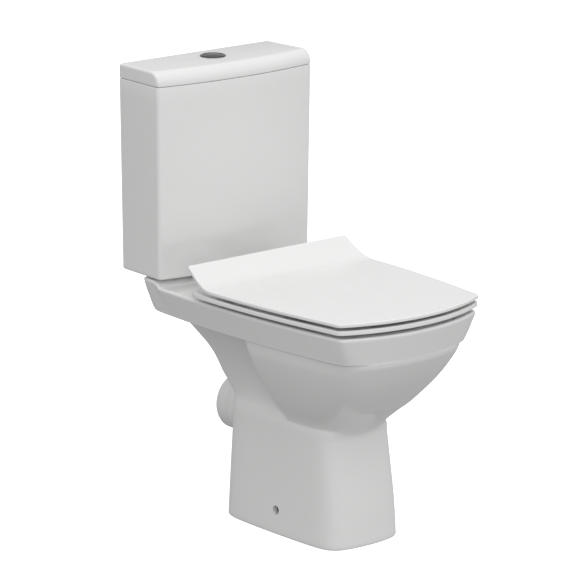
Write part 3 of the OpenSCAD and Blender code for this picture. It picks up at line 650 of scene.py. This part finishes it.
def make_cistern_lid():
    """Lid with a quarter round front edge, hollow underneath, with the buttons' hole."""
    low, high = COVER_LOW[2], COVER_HIGH[2]
    round_f, round_s, wall = 22, 4.5, 11
    rows = [tank_row(TANK_HIGH[2], t, t, t, at_z) for t, at_z in ((1.2, low), (0.35, low + 0.35),
                                                                 (0, low + 1.2))]
    rows += [tank_row(TANK_HIGH[2], 0, 0, 0, z) for z in (low + 2.5, high - round_f)]
    for sine, cosine in quarter(17, first=1):
        z = high - round_f * (1 - sine)
        side = max(0.0, (z - (high - round_s)) / round_s)
        inset = round_s * (1 - math.sqrt(max(0.0, 1 - side * side)))
        rows.append(tank_row(TANK_HIGH[2], round_f * (1 - cosine), inset, inset, z))
    lid = loft("cistern_lid_china", rows)
    under = [tank_row(TANK_HIGH[2], wall + t, wall + t, wall + t, z)
             for t, z in ((0, low - 3), (0, high - 19), (3, high - 14), (9, high - 10),
                          (16, high - 9))]
    hollow = loft("hollow", under)
    hole = rod("hole", (0, BUTTON_Y, low), (0, BUTTON_Y, high + 5), 19.8, steps=96)
    return combine(lid, [hollow, hole], "DIFFERENCE", 30)


# ---- seat ------------------------------------------------------------------
SEAT_HALF_W = cad_box[1][0] / MM
RAMP_D = 248
REAR_D = 200


def seat_half_w(d):
    """Half width of the seat at the distance d."""
    if d < 250:
        return mix(176, SEAT_HALF_W, (d - REAR_D) / 50)
    return SEAT_HALF_W - (d - 250) ** 2 / 3800


def seat_outline(rear, t, rear_r):
    """Outline of the seat from the rear to the front, drawn in by t."""
    r, front = 330, DEPTH - t
    corner = seat_half_w(565) - t
    right = [(seat_half_w(rear) - t, rear + t, rear_r)]
    right += [(seat_half_w(d) - t, d, 0) for d in np.linspace(rear + 14, 548, 40)]
    right += [(corner, front - r + math.sqrt(r * r - corner ** 2), 14 - 0.5 * t)]
    right += [(corner * x, front - r + math.sqrt(r * r - (corner * x) ** 2), 0)
              for x in np.linspace(0.86, 0.02, 24)]
    left = [(-p[0], p[1], p[2]) for p in reversed(right)]
    return [(p.x, p.y) for p in rounded_outline(right + left)]


def ramp(d):
    """Height of the lid above its flat part at the distance d."""
    slope = (LID_REAR_Z - SEAT_Z) / (RAMP_D - REAR_D)
    w = RAMP_D + 22 - d
    return np.where(w < 0, 0, np.where(w < 44, slope * w * w / 88, slope * (RAMP_D - d)))


def lid_row(t, down, shrink=0.0):
    """Row of the lid: drawn in by t, down below the top, shrunk to its spine."""
    flat = np.array(seat_outline(REAR_D, t, 4))
    spine = np.stack([np.zeros(len(flat)), np.clip(flat[:, 1], 300, 470)], 1)
    flat = mix(flat, spine, shrink)
    z = SEAT_Z + ramp(flat[:, 1]) - down * (1 + ramp(flat[:, 1]) / 150)
    return np.stack([flat[:, 0], wy(flat[:, 1]), z], 1)


def knuckle(name, x0, x1, r=9.0):
    """Bored barrel on the hinge line."""
    edge = 1.2
    profile = [(4.1, x0), (r - edge, x0), (r - 0.35 * edge, x0 + 0.35 * edge), (r, x0 + edge),
               (r, x1 - edge), (r - 0.35 * edge, x1 - 0.35 * edge), (r - edge, x1), (4.1, x1)]
    return turned(name, profile, (0, HINGE.y, HINGE.z), axis=(1, 0, 0), steps=64)


def make_seat_lid():
    """Thin lid that rises to the rear, hollow underneath, with its hinge knuckles."""
    top_r, low_r = 2.4, 1.2
    hollow, thick = 3.4, LID_T - 0.6
    rows = [lid_row(low_r + 4.5, thick - hollow, s) for s in np.linspace(1, 0, 30)]
    rows.append(lid_row(low_r + 2.5, thick))
    for sine, cosine in quarter(5):
        rows.append(lid_row(low_r * (1 - sine), thick - low_r * (1 - cosine)))
    for sine, cosine in quarter(7):
        rows.append(lid_row(top_r * (1 - cosine), top_r * (1 - sine)))
    rows += [lid_row(top_r + 1, 0, s) for s in np.linspace(0, 1, 40)]
    lid = loft("seat_lid_shell", rows)
    parts = [lid]
    for side in (-1, 1):
        a, b = sorted((side * 52.5, side * 68.5))
        parts.append(knuckle("knuckle", a, b))
        arm = [(HINGE.y + 6, HINGE.z + 6), (HINGE.y - 12, HINGE.z + 16),
               (HINGE.y - 34, HINGE.z + 2), (HINGE.y - 6, HINGE.z - 6)]
        parts.append(bar("arm", arm, a + 0.1, b - 0.1, axis="x", edge=1.0))
    parts.append(knuckle("barrel", -52.5, -28.5))
    return join("seat_lid_shell", parts)


def polar(outline, centre, angles):
    """Reach of a closed outline from a centre in each direction."""
    points = np.array(outline) - centre
    reach = np.zeros(len(angles))
    nxt = np.roll(points, -1, 0)
    for i, a in enumerate(angles):
        u = np.array([math.cos(a), math.sin(a)])
        side, ahead = np.array([-u[1], u[0]]), u
        p, q = points @ side, nxt @ side
        hit = np.where((p <= 0) != (q <= 0))[0]
        t = p[hit] / (p[hit] - q[hit])
        reach[i] = np.max((points[hit] * (1 - t)[:, None] + nxt[hit] * t[:, None]) @ ahead)
    return reach


def make_seat_ring():
    """Seat ring with a dished top, hollow underneath, with its hinge knuckles."""
    angles = direction_list() + 1e-4
    centre = np.array([0, 415.0])
    outer = polar(seat_outline(207, 1, 10), centre, angles)
    v = (np.abs(np.cos(angles)), np.sin(angles))
    inner = soft_min([118 / np.maximum(0.02, v[0]), to_circle(v, (0, 0), 158)], 9)
    top, under = RING_TOP, RING_UNDER

    def ring_row(reach, z):
        return np.stack([reach * np.cos(angles), wy(centre[1]) - reach * np.sin(angles),
                         np.full(len(angles), z)], 1)

    rows = []
    for r, edge, z, way in ((outer, 1.6, under + 0.8, 1), (outer, 1.4, top - 0.4, -1)):
        for u in np.linspace(0, 90, 6)[::way]:
            inset = edge * (1 - math.sin(math.radians(u)))
            rise = edge * (1 - math.cos(math.radians(u)))
            rows.append(ring_row(r - inset, z + way * rise))
    dip = [(0.02, 0.0), (0.07, 1.4), (0.5, 1.8), (0.8, 2.0), (0.92, 2.3)]
    rows += [ring_row(mix(outer - 3, inner + 3, t), top - drop) for t, drop in dip]
    for u in np.linspace(20, 160, 7):
        rows.append(ring_row(inner + 3.4 * (1 - math.sin(math.radians(u))),
                             (top + under) / 2 - 0.8 + 3.2 * math.cos(math.radians(u))))
    rows += [ring_row(mix(inner + 5, outer - 3, t), under + rise)
             for t, rise in ((0, 0), (0.02, 3.6), (0.97, 3.6), (0.99, 0.8))]
    ring = loft("seat_ring_shell", rows, closed=True)
    parts = [ring]
    for side in (-1, 1):
        a, b = sorted((side * 86.5, side * 102.5))
        parts.append(knuckle("knuckle", a, b))
        arm = [(HINGE.y + 6, HINGE.z - 6), (HINGE.y - 17, under), (HINGE.y - 28, under),
               (HINGE.y - 28, top), (HINGE.y - 6, HINGE.z + 6)]
        parts.append(bar("arm", arm, a + 0.1, b - 0.1, axis="x", edge=1.0))
    parts.append(knuckle("barrel", 102.5, 126.5))
    return join("seat_ring_shell", parts)


# ---- push buttons ----------------------------------------------------------
def make_buttons():
    """Chrome bezel and the two halves of the push button."""
    top = COVER_HIGH[2]
    y = BUTTON_Y
    bezel = turned("bezel_ring", [(16.35, top - 29), (16.35, top + 1.9), (16.7, top + 2.4),
                                  (17.3, top + 2.6), (19, top + 2.5), (20.8, top + 2.1),
                                  (22.2, top + 1.2), (22.9, top + 0.4), (22.9, top),
                                  (19.5, top), (19.5, top - 32), (12.5, top - 32),
                                  (12.5, top - 29)], (0, y, 0))
    dome = [(0.01, top - 9), (15.6, top - 9), (16, top - 8.6), (16, top + 1.2), (15.7, top + 1.8),
            (15, top + 2.3), (12, top + 2.85), (8, top + 3.3), (4, top + 3.55), (0.01, top + 3.6)]
    halves = []
    for name, side, split in (("button_full_dome", 1, -3.7), ("button_half_dome", -1, 4.1)):
        half = turned(name, dome, (0, y, 0), steps=128)
        far = 30 * side
        low, high = sorted((side * split, far))
        keep = bar("keep", [(low, y - 30), (high, y - 30), (high, y + 30), (low, y + 30)],
                   top - 12, top + 10, edge=0)
        combine(half, [keep], "INTERSECT", 25)
        add_bevel(half, 0.35, 2, 50)
        halves.append(half)
    return bezel, halves


def make_spring(name, x):
    """Coil spring round a push rod."""
    low, high = span(name)
    turns, wire, coil_r, steps = 6, 0.5, 4.0, 24
    n = turns * steps
    rows = []
    for i in range(n + 1):
        a = math.tau * i / steps
        t = i / n
        rise = min(1, max(0, (t - 0.12) / 0.76))
        z = mix(low[2] + wire, high[2] - wire, 0.06 * t + 0.94 * rise)
        centre = Vector((x + coil_r * math.cos(a), BUTTON_Y + coil_r * math.sin(a), z))
        out = Vector((math.cos(a), math.sin(a), 0))
        rows.append([centre + wire * (out * math.cos(b) + Vector((0, 0, math.sin(b))))
                     for b in np.linspace(0, math.tau, 9)[:-1]])
    return loft(name + "_coil", rows)


# ---- stage -----------------------------------------------------------------
FLOOR_HALF = 60
FLOOR_GLOW = 0.7
# the studio's light: strength level with the object, and what each axis adds
GLOW_LEVEL = 0.645
GLOW_SLOPES = (0.06, -0.11, 0.38)
GLOW_LEAST = 0.12
# share of the light left at the horizon, and the sine of the angle where all of it is back
HORIZON_DIP = 0.75
HORIZON_END = 0.45
# name, place, size in metres, power in watts
LAMPS = [("front", (-2.6, -3.0, 2.0), 0.9, 22), ("top", (-0.4, -1.2, 3.2), 2.4, 14)]
LAMP_TARGET = (0, 0, 0.4)
# metres, degrees and millimetres of lens
CAMERA_PLACE = (-4.0139, -4.7669, 2.0199)
CAMERA_DOWN = 14.5
CAMERA_TURN = 39.9
CAMERA_LENS = 230.5


def matt(name, grey):
    """Plain matt material of the stage."""
    material = bpy.data.materials.new(name)
    material.use_nodes = True
    shader = material.node_tree.nodes["Principled BSDF"]
    shader.inputs["Base Color"].default_value = (grey, grey, grey, 1)
    shader.inputs["Roughness"].default_value = 0.9
    return material, shader


def make_floor():
    """Pale floor that glows by itself and throws no light or reflection on the object."""
    mesh = bpy.data.meshes.new("floor")
    corners = [(-1, -1), (1, -1), (1, 1), (-1, 1)]
    mesh.from_pydata([(x * FLOOR_HALF, y * FLOOR_HALF, 0) for x, y in corners], [],
                     [(0, 1, 2, 3)])
    floor = bpy.data.objects.new("floor", mesh)
    bpy.context.scene.collection.objects.link(floor)
    material, shader = matt("floor", 0.8)
    shader.inputs["Specular IOR Level"].default_value = 0.1
    shader.inputs["Emission Color"].default_value = (1, 1, 1, 1)
    shader.inputs["Emission Strength"].default_value = FLOOR_GLOW
    mesh.materials.append(material)
    floor.visible_diffuse = False
    floor.visible_glossy = False


def make_shade_patch():
    """The floor's patch under the foot, which keeps light out of the hollow foot; its dark grey, far darker than
    the pale floor, is painted shade inside the foot.
    """
    outline = pan_row(0, 5, 0.2)
    patch = make_object("floor_patch", outline, [tuple(range(len(outline)))])
    # dark grey instead of the floor's pale grey: painted shade inside the hollow foot
    patch.data.materials.append(matt("floor patch painted shade", 0.3)[0])


def make_world():
    """Surroundings whose brightness changes evenly, a little darker at the horizon."""
    world = bpy.data.worlds.new("studio")
    bpy.context.scene.world = world
    world.use_nodes = True
    tree = world.node_tree
    place = tree.nodes.new("ShaderNodeTexCoord").outputs["Generated"]

    def feed(socket, value):
        if isinstance(value, (int, float)):
            socket.default_value = value
        else:
            tree.links.new(value, socket)

    def figure(operation, *values):
        node = tree.nodes.new("ShaderNodeMath")
        node.operation = operation
        for socket, value in zip(node.inputs, values):
            feed(socket, value)
        return node.outputs[0]

    slope = tree.nodes.new("ShaderNodeVectorMath")
    slope.operation = "DOT_PRODUCT"
    slope.inputs[1].default_value = GLOW_SLOPES
    feed(slope.inputs[0], place)
    split = tree.nodes.new("ShaderNodeSeparateXYZ")
    feed(split.inputs[0], place)
    dip = tree.nodes.new("ShaderNodeMapRange")
    dip.interpolation_type = "SMOOTHSTEP"
    dip.inputs["From Max"].default_value = HORIZON_END
    dip.inputs["To Min"].default_value = HORIZON_DIP
    feed(dip.inputs["Value"], figure("ABSOLUTE", split.outputs["Z"]))
    glow = figure("MAXIMUM", figure("ADD", slope.outputs["Value"], GLOW_LEVEL), GLOW_LEAST)
    background = tree.nodes["Background"].inputs
    feed(background["Strength"], figure("MULTIPLY", glow, dip.outputs["Result"]))
    background["Color"].default_value = (1, 1, 1, 1)


def make_lamps():
    """Square lamps that all point at the object."""
    for name, place, size, power in LAMPS:
        light = bpy.data.lights.new(name, "AREA")
        light.shape = "SQUARE"
        light.size = size
        light.energy = power
        lamp = bpy.data.objects.new(name, light)
        lamp.location = place
        aim = Vector(LAMP_TARGET) - Vector(place)
        lamp.rotation_euler = aim.to_track_quat("-Z", "Y").to_euler()
        bpy.context.scene.collection.objects.link(lamp)


def make_stage():
    """Floor, surroundings, lamps and a plain rendering of their light."""
    make_floor()
    make_shade_patch()
    make_world()
    make_lamps()
    bpy.context.scene.view_settings.view_transform = "Standard"
    bpy.context.scene.view_settings.look = "None"


def make_camera():
    """Long lens from the front left, a little above the seat."""
    camera = bpy.data.objects.new("camera", bpy.data.cameras.new("camera"))
    camera.location = CAMERA_PLACE
    camera.rotation_euler = (math.radians(90 - CAMERA_DOWN), 0, math.radians(-CAMERA_TURN))
    camera.data.sensor_width = 36
    camera.data.lens = CAMERA_LENS
    bpy.context.scene.collection.objects.link(camera)
    bpy.context.scene.camera = camera


# ---- the object ------------------------------------------------------------
dress_nodes()
finish_piece(make_pan(), "root", "china", CHINA, *(n for n in PAN_NODES if n != "pan_trap"))
finish_piece(make_cistern(), "root", "china", CHINA, "cistern")
finish_piece(make_cistern_lid(), "cistern_lid", "china", CHINA, "cistern_lid")
finish_piece(make_seat_lid(), "seat_lid", "seat_plastic", SEAT, "seat_lid")
finish_piece(make_seat_ring(), "seat_ring", "seat_plastic", SEAT, "seat_ring")
bezel, (full_dome, half_dome) = make_buttons()
finish_piece(bezel, "cistern_lid", "chrome", CHROME_PAINTED_DARK, "button_bezel")
finish_piece(full_dome, "full_flush_button", "chrome", CHROME_PAINTED_DARK, "button_full")
finish_piece(half_dome, "half_flush_button", "chrome", CHROME_PAINTED_DARK, "button_half")
for name, x, joint in (("spring_full", 10, "full_flush_press"),
                       ("spring_half", -10, "half_flush_press")):
    spring = finish_piece(make_spring(name, x), "cistern_lid", "steel", STEEL, name)
    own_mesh(spring)

make_stage()
make_camera()
